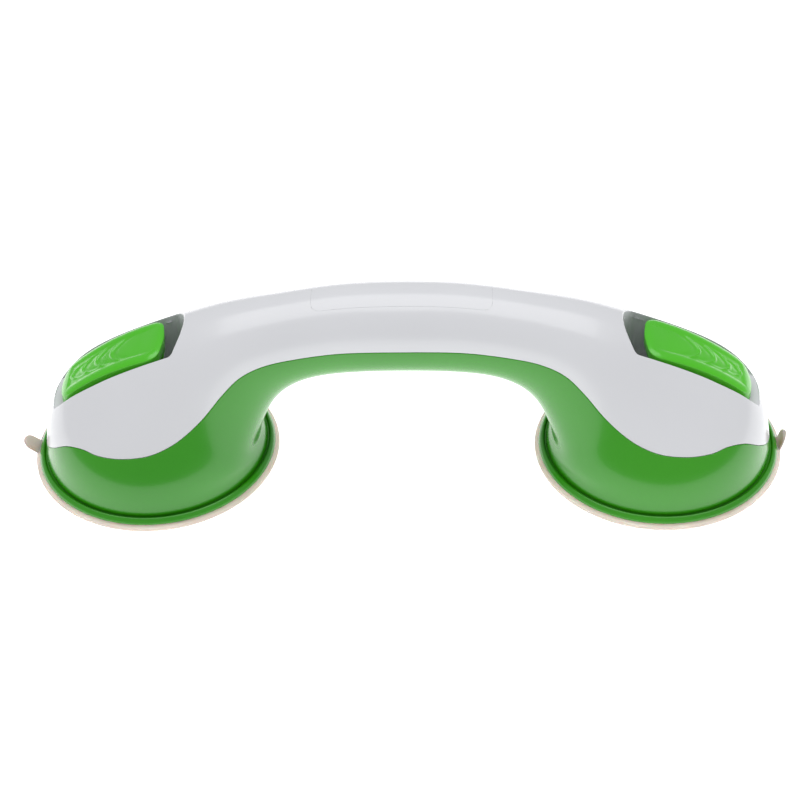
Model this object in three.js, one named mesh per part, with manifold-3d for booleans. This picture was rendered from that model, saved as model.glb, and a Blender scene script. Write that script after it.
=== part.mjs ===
// Suction grab bar: an arched two-shell handle standing on two lever-operated suction cups.
// Millimetres. +X runs along the handle, +Z points away from the wall, and the cup rims lie at z = 0.
// Each end is built in its own frame: its origin is on the cup axis, and +x points away from the handle.
import * as THREE from 'three';
import { ParametricGeometry } from 'three/addons/geometries/ParametricGeometry.js';
import { mergeVertices } from 'three/addons/utils/BufferGeometryUtils.js';
import Module from 'manifold-3d';

// ---- driving dimensions ----
const CUP_AXIS_X = 99.3;
const WALL = 2.5;
const GAP = 0.3;
const FOOT_Z = 4;
const RINGS_PER_HALF = 14;
const RING_SIDES = 32;
const CURVE_STEPS = 5;

// Reaches of the cutting blocks, all well clear of the bar.
const FAR_ABOVE = 90;
const FAR_BELOW = -5;
const FAR_ACROSS = 60;

// Sections of the hollow body, from the middle of the grip to the round foot of one base. Each is an
// egg-shaped ring in a plane across the body: [underside x, z, upper side x, z, half width, egg].
const STATIONS = [
  [0, 44.3, 0, 79.2, 16.8, 0],
  [22, 43.5, 24, 78.8, 16.4, 0],
  [37.8, 41, 48, 74, 16.4, 0],
  [50.6, 30.8, 70, 69.6, 18.5, -0.12],
  [56.5, 15.6, 92, 61.2, 25.6, 0.11],
  [57.7, 12, 113, 52.8, 32.9, 0.3],
  [57, 9.2, 130.2, 40.3, 38.8, 0.18],
  [56.1, 6.7, 140.7, 24.4, 43.6, -0.02],
  [55.3, FOOT_Z, 143.3, FOOT_Z, 44, 0],
];

// Line between the white upper shell and the green lower shell, seen from the front: [x, z].
const PARTING_LINE = [
  [0, 61.8], [22, 61.2], [40, 58.6], [52, 56], [61, 52], [68, 45.8], [76, 37.6], [85, 31.6],
  [95, 28], [106, 26.5], [116, 26], [123, 26.1], [130, 23.6], [136, 18], [141, 11.4], [147, 3],
];

const INLAY = { length: 68, width: 16, corner: 4, thickness: 1.2, bottom: 60 };

// Ring around each foot, with a groove between it and the body: [radius, z].
const FLANGE_PROFILE = [
  [42.3, 1.9], [46.6, 1.9], [47, 2.5], [46.5, 3.7], [45.5, 4.6], [44.9, 4.4], [44.5, 3.4], [43.2, 3.4],
  [42.3, 5.5], [42.3, 1.9],
];
const DECK = { bottom: 9.5, top: 12, radius: 43.6 };
const GUIDE = { outerRadius: 8, top: 22 };

const CUP = { radius: 48.5, land: 43.5, hollow: 3.6, crown: 7.8 };
const TAB = { width: 7.6, thickness: 1.4, reach: 6.8 };
const STUD = { radius: 4.5, discRadius: 11, discBottom: 4.9, discTop: 6.3, eyeHalf: 4.2 };
const STEM_HOLE_RADIUS = 5;
const PIN = { radius: 1.5, halfLength: 11.2, z: 46 };

// Plan of the lever's pocket, one side of its middle line: [x, y] from the bowed inner end outwards.
const POCKET = {
  bow: -19.4,
  shoulder: [-13.2, 11.2],
  corner: [-12, 13],
  straightStart: [-8.5, 13],
  straightEnd: [24, 13],
  taperEnd: [33.5, 11.1],
  outer: [38, 8],
  wall: 2,
};
// Floor of the pocket. The lever sinks with the cup as it opens, so the well under its inner end goes
// deeper than a circle round the pin; the floor then steps up to the cam plate's seat and slopes out.
const FLOOR_LINE = [
  [-17, 60], [-14.8, 50], [-14, 43], [-13.4, 37.5], [-11.7, 33], [-9.3, 30.4], [-6.5, 29.8], [-3.5, 29.8],
  [-3.5, 34.2], [20, 34.2], [31.5, 29.4], [40.5, 27.9],
];
const PLATE = { inner: -3, outer: 9, halfWidth: 12, bottom: 34.5, top: 35.5 };

// The cam's height over the plate falls by CUP_TRAVEL, evenly with the angle, while the lever opens.
const CUP_TRAVEL = 5;
const LEVER_SWING = THREE.MathUtils.degToRad(100);
const CAM_HEIGHT = PIN.z - PLATE.top;
const LEVER = {
  innerTip: [-7.6, 56.8],
  outerTip: [33.7, 34.4],
  topRadius: 95,
  halfInner: 11.9,
  halfOuter: 9.9,
  edge: 1.5,
  skin: 2.6,
  skirt: 7,
  skirtWall: 2,
  skirtShort: 9,
};
const CHEEK = { inner: 5.2, outer: 10.6 };

const SCREW = { radius: 1.5, headRadius: 2.9, headHeight: 1.9, chamfer: 0.8, point: 2, tip: 24, hole: 1.8 };
const CROSS_SLOT = { length: 3.4, width: 0.8, depth: 1 };
const BOSS = { radius: 3.8, split: 16, circle: 29.4, angles: [50, 130, 230, 310] };

// ---- solids ----
const wasm = await Module();
wasm.setup();

function toSolid(geometry) {
  const bare = geometry.clone();
  bare.deleteAttribute('normal');
  bare.deleteAttribute('uv');
  const merged = mergeVertices(bare, 1e-4);
  const corners = [];
  for (let i = 0; i < merged.index.count; i += 3) {
    const [a, b, c] = [0, 1, 2].map((k) => merged.index.getX(i + k));
    if (a !== b && b !== c && c !== a) corners.push(a, b, c);
  }
  return new wasm.Manifold(new wasm.Mesh({
    numProp: 3,
    vertProperties: merged.attributes.position.array,
    triVerts: Uint32Array.from(corners),
  }));
}

function toGeometry(solid) {
  const mesh = solid.getMesh();
  const geometry = new THREE.BufferGeometry();
  geometry.setAttribute('position', new THREE.BufferAttribute(mesh.vertProperties, 3));
  geometry.setIndex(new THREE.BufferAttribute(mesh.triVerts, 1));
  geometry.computeVertexNormals();
  return geometry;
}

const join = (...solids) => solids.reduce((sum, next) => sum.add(next));
const cut = (base, ...tools) => tools.reduce((rest, tool) => rest.subtract(tool), base);

function outline(points) {
  return new THREE.Shape(points.map(([x, y]) => new THREE.Vector2(x, y)));
}

// A shape in the x-z plane, extruded along Y from -halfWidth to halfWidth.
function acrossY(shape, halfWidth, bevel = 0) {
  const geometry = new THREE.ExtrudeGeometry(shape, {
    depth: 2 * (halfWidth - bevel),
    curveSegments: CURVE_STEPS,
    bevelEnabled: bevel > 0,
    bevelThickness: bevel,
    bevelSize: bevel,
    bevelOffset: -bevel,
    bevelSegments: 1,
  });
  geometry.rotateX(Math.PI / 2);
  geometry.translate(0, halfWidth - bevel, 0);
  return geometry;
}

// A shape in the x-y plane, extruded up from bottom to top.
function upward(shape, bottom, top) {
  const geometry = new THREE.ExtrudeGeometry(shape, {
    depth: top - bottom,
    curveSegments: CURVE_STEPS,
    bevelEnabled: false,
  });
  geometry.translate(0, 0, bottom);
  return geometry;
}

// A hole through everything along Y, at the lever's pin.
function pinBore() {
  const geometry = new THREE.CylinderGeometry(PIN.radius + GAP, PIN.radius + GAP, 40, 20);
  geometry.translate(0, 0, PIN.z);
  return toSolid(geometry);
}

// A profile of [radius, z] points turned about the z axis.
function turned(profile, sides = 48) {
  const geometry = new THREE.LatheGeometry(profile.map(([r, z]) => new THREE.Vector2(r, z)), sides);
  geometry.rotateX(Math.PI / 2);
  return geometry;
}

function rod(radius, bottom, top, x = 0, y = 0, sides = 24) {
  const geometry = turned([[0, bottom], [radius, bottom], [radius, top], [0, top]], sides);
  geometry.translate(x, y, 0);
  return toSolid(geometry);
}

// A copy of an end-frame solid at the left or the right end of the bar.
function atEnd(geometry, sign) {
  const placed = geometry.clone();
  if (sign < 0) placed.rotateZ(Math.PI);
  placed.translate(sign * CUP_AXIS_X, 0, 0);
  return toSolid(placed);
}

const atBothEnds = (solid) => join(...[-1, 1].map((sign) => atEnd(toGeometry(solid), sign)));

// ---- body ----
function control(index) {
  if (index < 0) {
    const [x1, z1, x2, z2, width, egg] = STATIONS[1];
    return [-x1, z1, -x2, z2, width, egg];
  }
  if (index < STATIONS.length) return STATIONS[index];
  const last = STATIONS[STATIONS.length - 1];
  return last.map((value, k) => 2 * value - STATIONS[STATIONS.length - 2][k]);
}

// The section at travel s, 0 at the middle of the grip and 1 at the foot, on a uniform cubic B-spline.
function sectionAt(s) {
  const reach = s * (STATIONS.length - 1);
  const first = Math.min(Math.floor(reach), STATIONS.length - 2);
  const f = reach - first;
  const weights = [(1 - f) ** 3, 3 * f ** 3 - 6 * f ** 2 + 4, -3 * f ** 3 + 3 * f ** 2 + 3 * f + 1, f ** 3];
  const rows = weights.map((weight, k) => control(first - 1 + k).map((value) => (value * weight) / 6));
  return rows[0].map((_, k) => rows.reduce((sum, row) => sum + row[k], 0));
}

// Across a section, an egg narrows one side of the ellipse, and the widest place keeps the full width.
function eggReach(angle, egg) {
  const widest = egg === 0 ? Math.PI / 2 : Math.acos((1 - Math.sqrt(1 + 8 * egg * egg)) / (4 * egg));
  const reach = (a) => Math.sin(a) * (1 - egg * Math.cos(a));
  return reach(angle) / reach(widest);
}

// The body as one solid, shrunk by inset on all sides; drop lengthens its two feet downwards.
function body(inset, drop = 0) {
  const rows = 2 * RINGS_PER_HALF + 2;
  const place = (u, v, target) => {
    const row = Math.round(u * rows);
    const closes = row === 0 || row === rows;
    const ring = THREE.MathUtils.clamp(row, 1, rows - 1) - 1 - RINGS_PER_HALF;
    const sign = Math.sign(ring);
    const [x1, z1, x2, z2, width, egg] = sectionAt(Math.abs(ring) / RINGS_PER_HALF);
    const across = Math.hypot(x2 - x1, z2 - z1) / 2;
    const shrink = closes ? 0 : (across - inset) / across;
    const angle = v * 2 * Math.PI;
    const along = Math.cos(angle) * shrink;
    const x = (x1 + x2) / 2 + ((x2 - x1) / 2) * along;
    const z = (z1 + z2) / 2 + ((z2 - z1) / 2) * along - (Math.abs(ring) === RINGS_PER_HALF ? drop : 0);
    const y = closes ? 0 : (width - inset) * eggReach(angle, egg);
    target.set(sign === 0 ? 0 : sign * x, y, z);
  };
  return toSolid(new ParametricGeometry(place, rows, RING_SIDES));
}

function partingCurve(lift) {
  const mirrored = PARTING_LINE.slice(1).reverse().map(([x, z]) => [-x, z]);
  const points = [...mirrored, ...PARTING_LINE].map(([x, z]) => new THREE.Vector2(x, z + lift));
  return new THREE.SplineCurve(points).getPoints(44).map((p) => [p.x, p.y]);
}

function belowParting() {
  const [edge] = PARTING_LINE[PARTING_LINE.length - 1];
  return toSolid(acrossY(outline([...partingCurve(0), [edge, FAR_BELOW], [-edge, FAR_BELOW]]), FAR_ACROSS));
}

function aboveParting() {
  const [edge] = PARTING_LINE[PARTING_LINE.length - 1];
  return toSolid(acrossY(outline([...partingCurve(GAP), [edge, FAR_ABOVE], [-edge, FAR_ABOVE]]), FAR_ACROSS));
}

function roundedRectangle(length, width, corner) {
  const [a, b] = [length / 2, width / 2];
  const shape = new THREE.Shape();
  shape.moveTo(corner - a, -b);
  shape.lineTo(a - corner, -b);
  shape.absarc(a - corner, corner - b, corner, -Math.PI / 2, 0);
  shape.absarc(a - corner, b - corner, corner, 0, Math.PI / 2);
  shape.absarc(corner - a, b - corner, corner, Math.PI / 2, Math.PI);
  shape.absarc(corner - a, corner - b, corner, Math.PI, 1.5 * Math.PI);
  return shape;
}

function inlayBlock(grow, depth) {
  const shape = roundedRectangle(INLAY.length + 2 * grow, INLAY.width + 2 * grow, INLAY.corner + grow);
  return cut(toSolid(upward(shape, INLAY.bottom, FAR_ABOVE)), body(depth));
}

function bossPlaces() {
  return BOSS.angles.map((angle) => {
    const turn = THREE.MathUtils.degToRad(angle);
    return [BOSS.circle * Math.cos(turn), BOSS.circle * Math.sin(turn)];
  });
}

function pocketPlan(grow) {
  const { bow, shoulder, corner, straightStart, straightEnd, taperEnd, outer } = POCKET;
  const shape = new THREE.Shape();
  shape.moveTo(outer[0] + grow, -outer[1] - grow);
  shape.lineTo(outer[0] + grow, outer[1] + grow);
  shape.lineTo(taperEnd[0] + grow, taperEnd[1] + grow);
  shape.lineTo(straightEnd[0], straightEnd[1] + grow);
  shape.lineTo(straightStart[0], straightStart[1] + grow);
  shape.quadraticCurveTo(corner[0] - grow, corner[1] + grow, shoulder[0] - grow, shoulder[1]);
  shape.quadraticCurveTo(bow - grow, 0, shoulder[0] - grow, -shoulder[1]);
  shape.quadraticCurveTo(corner[0] - grow, -corner[1] - grow, straightStart[0], -straightStart[1] - grow);
  shape.lineTo(straightEnd[0], -straightEnd[1] - grow);
  shape.lineTo(taperEnd[0] + grow, -taperEnd[1] - grow);
  return shape;
}

// The pocket's space above its floor line, grown outwards and downwards.
function pocketSpace(grow) {
  const line = FLOOR_LINE.map(([x, z]) => [x < 0 ? x - grow : x, z - grow]);
  const [left, right] = [line[0][0], line[line.length - 1][0]];
  const above = outline([...line, [right, FAR_ABOVE], [left, FAR_ABOVE]]);
  return toSolid(upward(pocketPlan(grow), 0, FAR_ABOVE)).intersect(toSolid(acrossY(above, FAR_ACROSS)));
}

function upperShell() {
  const hollow = cut(body(0), body(WALL, 3)).intersect(aboveParting());
  const bosses = bossPlaces().map(([x, y]) => rod(BOSS.radius, BOSS.split + GAP, FAR_ABOVE, x, y, 12));
  const fittings = atBothEnds(join(pocketSpace(POCKET.wall), ...bosses)).intersect(body(1));
  const holes = bossPlaces().map(([x, y]) => rod(SCREW.hole, 0, SCREW.tip + 1, x, y, 8));
  const stemHole = rod(STEM_HOLE_RADIUS, 0, PIN.z);
  const cutters = atBothEnds(join(pocketSpace(0), stemHole, ...holes));
  return cut(join(hollow, fittings), cutters, inlayBlock(GAP, INLAY.thickness + GAP));
}

function lowerShell() {
  const below = belowParting();
  const hollow = cut(body(0), body(WALL, 3)).intersect(below);
  const flange = toSolid(turned(FLANGE_PROFILE));
  const deck = rod(DECK.radius, DECK.bottom, DECK.top, 0, 0, 32);
  const collar = rod(GUIDE.outerRadius, DECK.bottom, GUIDE.top);
  const bosses = bossPlaces().map(([x, y]) => rod(BOSS.radius, DECK.bottom, BOSS.split, x, y, 12));
  const fittings = atBothEnds(join(deck, collar, ...bosses)).intersect(body(0.8)).intersect(below);
  const holes = bossPlaces().map(([x, y]) => rod(SCREW.hole, 0, SCREW.tip, x, y, 8));
  const cutters = atBothEnds(join(rod(STEM_HOLE_RADIUS, 0, PIN.z), ...holes));
  return cut(join(hollow, fittings, atBothEnds(flange)), cutters);
}

function topInlay() {
  return inlayBlock(0, INLAY.thickness).intersect(body(0));
}

// ---- one end ----
function arcBetween([x1, z1], [x2, z2], radius, steps) {
  const [midX, midZ] = [(x1 + x2) / 2, (z1 + z2) / 2];
  const chord = Math.hypot(x2 - x1, z2 - z1);
  const depth = Math.sqrt(radius ** 2 - (chord / 2) ** 2);
  const centre = [midX + ((z2 - z1) / chord) * depth, midZ - ((x2 - x1) / chord) * depth];
  const start = Math.atan2(z1 - centre[1], x1 - centre[0]);
  const sweep = Math.atan2(z2 - centre[1], x2 - centre[0]) - start;
  return Array.from({ length: steps + 1 }, (_, i) => {
    const angle = start + (sweep * i) / steps;
    return [centre[0] + radius * Math.cos(angle), centre[1] + radius * Math.sin(angle)];
  });
}

// The cam's working edge, from where the open lever bears to where the closed lever bears.
function camEdge(steps) {
  const rate = CUP_TRAVEL / LEVER_SWING;
  return Array.from({ length: steps + 1 }, (_, i) => {
    const back = LEVER_SWING * (1 - i / steps);
    const height = CAM_HEIGHT - GAP - rate * back;
    const angle = -Math.PI / 2 - back;
    return [
      height * Math.cos(angle) - rate * Math.sin(angle),
      PIN.z + height * Math.sin(angle) + rate * Math.cos(angle),
    ];
  });
}

function taperWidth(geometry) {
  const position = geometry.attributes.position;
  const [from, to] = [LEVER.innerTip[0], LEVER.outerTip[0]];
  for (let i = 0; i < position.count; i += 1) {
    const share = (position.getX(i) - from) / (to - from);
    position.setY(i, position.getY(i) * (1 - share * (1 - LEVER.halfOuter / LEVER.halfInner)));
  }
  return geometry;
}

// The lever's top plate with its two side skirts, open underneath.
function leverShell() {
  const { innerTip, outerTip, topRadius, halfInner, edge, skin, skirt, skirtWall, skirtShort } = LEVER;
  const top = arcBetween(innerTip, outerTip, topRadius, 12);
  const slab = outline([
    ...top,
    [outerTip[0] - 2.6, outerTip[1] - 4.2],
    [skirtShort, top[4][1] - skirt],
    [innerTip[0] + 3.7, innerTip[1] - skirt],
    [innerTip[0], innerTip[1] - 3.6],
  ]);
  const [hollowStart, hollowEnd] = [innerTip[0] - 3, outerTip[0] - 2.4];
  const ceiling = arcBetween(
    [hollowStart, innerTip[1] - skin + 1.4],
    [hollowEnd, outerTip[1] - skin + 1],
    topRadius,
    8,
  );
  const hollow = outline([...ceiling, [hollowEnd, 0], [hollowStart, 0]]);
  return cut(
    toSolid(taperWidth(acrossY(slab, halfInner, edge))),
    toSolid(taperWidth(acrossY(hollow, halfInner - skirtWall))),
  );
}

// Two cheeks carry the pin and end in the cams; the stud's eye stands between them.
function leverCheeks() {
  const cheek = outline([
    ...camEdge(12),
    [6.5, PIN.z - 8.8],
    [9.5, PIN.z - 4.5],
    [12, PIN.z + 1.5],
    [0, PIN.z + 6],
    [-4.3, PIN.z + 6],
  ]);
  const between = new THREE.BoxGeometry(FAR_ACROSS, 2 * CHEEK.inner, FAR_ACROSS);
  between.translate(0, 0, PIN.z);
  return cut(toSolid(acrossY(cheek, CHEEK.outer)), toSolid(between));
}

function lever() {
  return cut(join(leverShell(), leverCheeks()), pinBore());
}

function leverPin() {
  const { radius, halfLength } = PIN;
  const chamfer = 0.4;
  const geometry = turned([
    [0, -halfLength], [radius - chamfer, -halfLength], [radius, chamfer - halfLength],
    [radius, halfLength - chamfer], [radius - chamfer, halfLength], [0, halfLength],
  ], 20);
  geometry.rotateX(Math.PI / 2);
  geometry.translate(0, 0, PIN.z);
  return toSolid(geometry);
}

// The stud's eye is a flattened end of its shank, so that the stud passes through the stem hole.
function pullerStud() {
  const { radius, discRadius, discBottom, discTop, eyeHalf } = STUD;
  const eyeStart = PIN.z - 8;
  const shank = toSolid(turned([
    [0, discBottom], [discRadius, discBottom], [discRadius, discTop], [radius, discTop],
    [radius, eyeStart], [0, eyeStart],
  ], 24));
  const eye = new THREE.Shape();
  eye.moveTo(radius, eyeStart - 1);
  eye.lineTo(radius, PIN.z);
  eye.absarc(0, PIN.z, radius, 0, Math.PI);
  eye.lineTo(-radius, eyeStart - 1);
  const head = toSolid(acrossY(eye, eyeHalf)).intersect(rod(radius, 0, FAR_ABOVE));
  return cut(join(shank, head), pinBore());
}

function camPlate() {
  const { inner, outer, halfWidth, bottom, top } = PLATE;
  const plan = outline([[inner, -halfWidth], [outer, -halfWidth], [outer, halfWidth], [inner, halfWidth]]);
  return cut(toSolid(upward(plan, bottom, top)), rod(STEM_HOLE_RADIUS + 0.1, 0, PIN.z));
}

// Flexible cup with the stud's disc held in a slot in its crown, and a pull tab bent up at its rim.
function suctionCup(tabLift) {
  const { radius, land, hollow, crown } = CUP;
  const slot = STUD.discRadius + GAP;
  const neck = STUD.radius + GAP;
  const dish = toSolid(turned([
    [0, hollow], [18, 3.1], [34, 1.6], [land, 0], [radius - 0.4, 0], [radius, 0.8], [radius - 0.7, 1.5],
    [42, 1.8], [31, 3.7], [22, 6.2], [16, crown], [neck, crown], [neck, STUD.discTop + GAP],
    [slot, STUD.discTop + GAP], [slot, STUD.discBottom - GAP], [0, STUD.discBottom - GAP],
  ], 44));
  return join(dish, pullTab(tabLift));
}

// The tab leaves the rim flat, and its rounded tongue is bent up by lift degrees.
function pullTab(lift) {
  const half = TAB.width / 2;
  const bend = CUP.radius + 0.1;
  const start = CUP.radius - 3;
  const root = outline([[start, -half], [bend, -half], [bend, half], [start, half]]);
  const tongue = new THREE.Shape();
  tongue.moveTo(0, -half);
  tongue.lineTo(TAB.reach - half, -half);
  tongue.absarc(TAB.reach - half, 0, half, -Math.PI / 2, Math.PI / 2);
  tongue.lineTo(0, half);
  const lifted = upward(tongue, 0, TAB.thickness);
  lifted.rotateY(-THREE.MathUtils.degToRad(lift));
  lifted.translate(bend, 0, 0.1);
  return join(toSolid(upward(root, 0.1, 0.1 + TAB.thickness)), toSolid(lifted));
}

function screw() {
  const { radius, headRadius, headHeight, chamfer, point, tip } = SCREW;
  const seat = DECK.bottom - GAP;
  const face = seat - headHeight;
  const blank = toSolid(turned([
    [0, face], [headRadius - chamfer, face], [headRadius, face + chamfer],
    [headRadius, seat], [radius, seat], [radius, tip - point], [0, tip],
  ], 10));
  const { length: long, width: wide, depth } = CROSS_SLOT;
  const arms = [[long, wide], [wide, long]].map(([length, width]) => {
    const box = new THREE.BoxGeometry(length, width, 2 * depth);
    box.translate(0, 0, face);
    return toSolid(box);
  });
  return cut(blank, ...arms);
}

// ---- materials ----
const whitePlastic = new THREE.MeshStandardMaterial({ color: 0xdcdde2, roughness: 0.28, metalness: 0 });
const greenPlastic = new THREE.MeshStandardMaterial({ color: 0x4fb535, roughness: 0.3, metalness: 0 });
const leverPlastic = new THREE.MeshStandardMaterial({ color: 0x5cc83c, roughness: 0.32, metalness: 0 });
const clearRubber = new THREE.MeshStandardMaterial({ color: 0xe2d8ce, roughness: 0.35, metalness: 0 });
const brightSteel = new THREE.MeshStandardMaterial({ color: 0xb9bcc0, roughness: 0.3, metalness: 1 });
const zincSteel = new THREE.MeshStandardMaterial({ color: 0x9ea2a6, roughness: 0.4, metalness: 1 });

function named(name, solid, material) {
  const mesh = new THREE.Mesh(toGeometry(solid), material);
  mesh.name = name;
  return mesh;
}

// ---- assembly ----
const grabBar = new THREE.Group();
grabBar.add(
  named('upper_shell', upperShell(), whitePlastic),
  named('lower_shell', lowerShell(), greenPlastic),
  named('top_inlay', topInlay(), whitePlastic),
);

const ENDS = [
  { name: 'left', sign: -1, tabLift: 44 },
  { name: 'right', sign: 1, tabLift: 64 },
];

for (const { name, sign, tabLift } of ENDS) {
  const end = new THREE.Group();
  end.position.x = sign * CUP_AXIS_X;
  end.rotation.z = sign < 0 ? Math.PI : 0;
  end.add(
    named(`${name}_lever`, lever(), leverPlastic),
    named(`${name}_lever_pin`, leverPin(), brightSteel),
    named(`${name}_cam_plate`, camPlate(), brightSteel),
    named(`${name}_puller_stud`, pullerStud(), zincSteel),
    named(`${name}_suction_cup`, suctionCup(tabLift), clearRubber),
  );
  bossPlaces().forEach(([x, y], index) => {
    const fastener = named(`${name}_screw_${index + 1}`, screw(), zincSteel);
    fastener.position.set(x, y, 0);
    end.add(fastener);
  });
  grabBar.add(end);
}

export default grabBar;
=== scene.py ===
"""Suction grab bar for Blender: a white and green arched handle on two lever-operated suction cups.

Dimensions below are in millimetres, in the frame's axes: +X along the handle, +Z away from the wall, and
the cup rims at z = 0. Meshes are made in metres. Each end of the bar is built in its own frame, whose
origin is on the cup axis and whose +x points away from the handle.
"""

import math

import bmesh
import bpy
import numpy as np
from mathutils import Matrix, Vector
from mathutils.geometry import delaunay_2d_cdt
from mathutils.kdtree import KDTree


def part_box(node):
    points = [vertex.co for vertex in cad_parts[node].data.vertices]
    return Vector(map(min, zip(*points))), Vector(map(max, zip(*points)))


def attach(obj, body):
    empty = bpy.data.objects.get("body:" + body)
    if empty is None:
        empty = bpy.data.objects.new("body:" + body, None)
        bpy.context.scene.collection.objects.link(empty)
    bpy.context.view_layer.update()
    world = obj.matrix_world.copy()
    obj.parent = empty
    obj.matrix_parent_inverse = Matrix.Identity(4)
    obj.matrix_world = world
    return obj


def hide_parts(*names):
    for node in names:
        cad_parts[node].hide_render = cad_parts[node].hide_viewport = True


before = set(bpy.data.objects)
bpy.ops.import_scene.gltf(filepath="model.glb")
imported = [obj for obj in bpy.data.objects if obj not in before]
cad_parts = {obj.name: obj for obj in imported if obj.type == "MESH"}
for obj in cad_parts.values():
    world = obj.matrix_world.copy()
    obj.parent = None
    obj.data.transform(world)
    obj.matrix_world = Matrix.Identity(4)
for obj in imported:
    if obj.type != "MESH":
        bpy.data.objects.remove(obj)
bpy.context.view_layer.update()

MM = 0.001

# ---- dimensions ----
STUD_LOW, STUD_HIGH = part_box("right_puller_stud")
PIN_LOW, PIN_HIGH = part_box("right_lever_pin")
CUP_AXIS_X = (STUD_LOW.x + STUD_HIGH.x) / 2 / MM
PIN_Z = (PIN_LOW.z + PIN_HIGH.z) / 2 / MM

# Sections of the body from the middle of the grip to one foot:
# [underside x, z, upper side x, z, half width, egg].
STATIONS = np.array([
    [0, 44.3, 0, 79.2, 16.8, 0],
    [22, 43.5, 24, 78.8, 16.4, 0],
    [37.8, 41, 48, 74, 16.4, 0],
    [50.6, 30.8, 70, 69.6, 18.5, -0.12],
    [56.5, 15.6, 92, 61.2, 25.6, 0.11],
    [57.7, 12, 113, 52.8, 32.9, 0.3],
    [57, 9.2, 130.2, 40.3, 38.8, 0.18],
    [56.1, 6.7, 140.7, 24.4, 43.6, -0.02],
    [55.3, 4, 143.3, 4, 44, 0],
])

# Line between the white upper shell and the green lower shell, seen from the front: [x, z].
PARTING_LINE = np.array([
    [0, 61.8], [22, 61.2], [40, 58.6], [52, 56], [61, 52], [68, 45.8], [76, 37.6], [85, 31.6],
    [95, 28], [106, 26.5], [116, 26], [123, 26.1], [130, 23.6], [136, 18], [141, 11.4], [147, 3],
])
PARTING_GAP = 0.1

SHELL_WALL = 2.2
# The wall lies under its sheet along the normals; where it is sunk, it lies along this share of the
# normal and this share of straight down.
SUNK_LAYER = "sunk"
SUNK_LEAN, SUNK_DROP = 0.4, 0.9
EDGE_ROUND = 0.3
EDGE_DEPTH = 1.6
SUPPORT = 0.3
LOOP_STEP = 0.8
BODY_GRID = 1.5
# Points of a patch's grid keep this far from its loops.
GRID_CLEARANCE = 0.55 * LOOP_STEP
# The domain of a patch is leant and bent by this much while it is filled with triangles.
DOMAIN_LEAN, DOMAIN_BEND = 0.12, 2e-4
# Points closer than this are one, and shorter edges are dropped.
MERGE_DISTANCE, SHORTEST_EDGE = 0.002, 0.001

INLAY = {
    "length": 68, "width": 16, "corner": 4, "depth": 1.4, "gap": 0.02, "round": 0.06,
    "side": 0.3, "thickness": 1,
}

POCKET = {
    "inner": -17, "outer": 38, "half": 13, "rim_round": 0.7, "floor_round": 1.2, "run_out": 0.15,
    "blend": 0.3, "rim_share": 0.4, "floor_share": 0.5,
}
POCKET_WALL_SHARES = (0, 0.33, 0.67)
# Plan of a pocket, one side of its middle line, from the bowed inner end outwards: [x, y, corner cut].
POCKET_SIDE = [
    (-16.4, 0, 3), (-15.3, 6.4, 3), (-11.9, 13, 1.4), (24, 13, 6),
    (33.2, 11.1, 2), (37.1, 8.8, 0.5), (37.8, 0, 3),
]
# Height of the pocket's floor along x. The lever sinks with the cup as it opens, so the well under its
# inner end goes deeper than a circle round the pin; the floor then steps up to the cam plate and slopes.
FLOOR_LINE = [
    [-17, 60], [-14.8, 50], [-14, 43], [-13.4, 37.5], [-11.7, 33], [-9.3, 30.4], [-6.5, 29.8], [-3.7, 29.8],
    [-3.3, 34.2], [20, 34.2], [31.5, 29.4], [40.5, 27.9],
]
STEM_HOLE = {"radius": 5, "round": 0.3, "wall": 3, "sides": 40}

LEVER = {
    "inner": -7.9, "outer": 34.8, "half_inner": 11.9, "half_outer": 9.9, "bow": 1.8,
    "inner_corner": 4.6, "outer_corner": 4.6, "wall": 1.9, "crown": 0.4, "least_side": 0.6,
}
# The bowed inner end: how far its side corners are drawn in, and how its corners are cut.
LEVER_BOW = {"share": 0.4, "side_cut": 1.4, "middle_cut": 2.8}
LEVER_TIP_CUT = 4
LEVER_SIDE_SHARES = (0.04, 0.35, 0.7, 1)
LEVER_STEP = 0.5
LEVER_GRID = 0.3
# The lever's border slopes over in a round and meets the flat side at a crisp line; inside it is a dish.
BORDER = {"width": 2.6, "drop": 0.95, "lean": 1.1}
DISH = {"depth": 0.55, "start": 3, "slope": 2, "end_slope": 7}
LEVER_ARC = {"start": (-7.9, 57.2), "end": (33.7, 34.6), "radius": 95}
LEVER_FOOT = np.array([[-7.9, 52.6], [-4.2, 50], [9, 43.4], [31.1, 30.2], [34.8, 30.6]])
# Thumb ribs on the lever: place of the tip along x, half length across, how far the ends curl back.
RIBS = [(13.6, 6.3, 4.3), (19.8, 5.5, 3.8), (25.6, 4.6, 3.2), (30.2, 3.4, 2.2)]
RIB_HEIGHT = 0.55
RIB_WIDTH = 0.38
# Each rib rises from a shallow hollow on its inner side.
HOLLOW = {"depth": 0.3, "back": 1.7, "width": 1.2}

DECK = {"bottom": 9.5, "top": 12, "radius": 41.2, "collar_radius": 8, "collar_top": 22, "round": 0.3}
# Ring around each foot, with a groove between it and the body: [radius, z].
FLANGE_PROFILE = [
    (42.3, 1.9), (46.6, 1.9), (47, 2.5), (46.5, 3.7), (45.5, 4.6), (44.9, 4.4), (44.5, 3.4), (43.2, 3.4),
    (42.3, 5.5),
]
FLANGE_CUTS = [0.3, 0.3, 0.35, 0.6, 0.35, 0.25, 0.25, 0.2, 0.3]
# The foot of the body's wall ends below the floor of that groove.
FOOT_END_Z = 3.1
FOOT_SIDES = 180
SEAM_POINTS = 24

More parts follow.
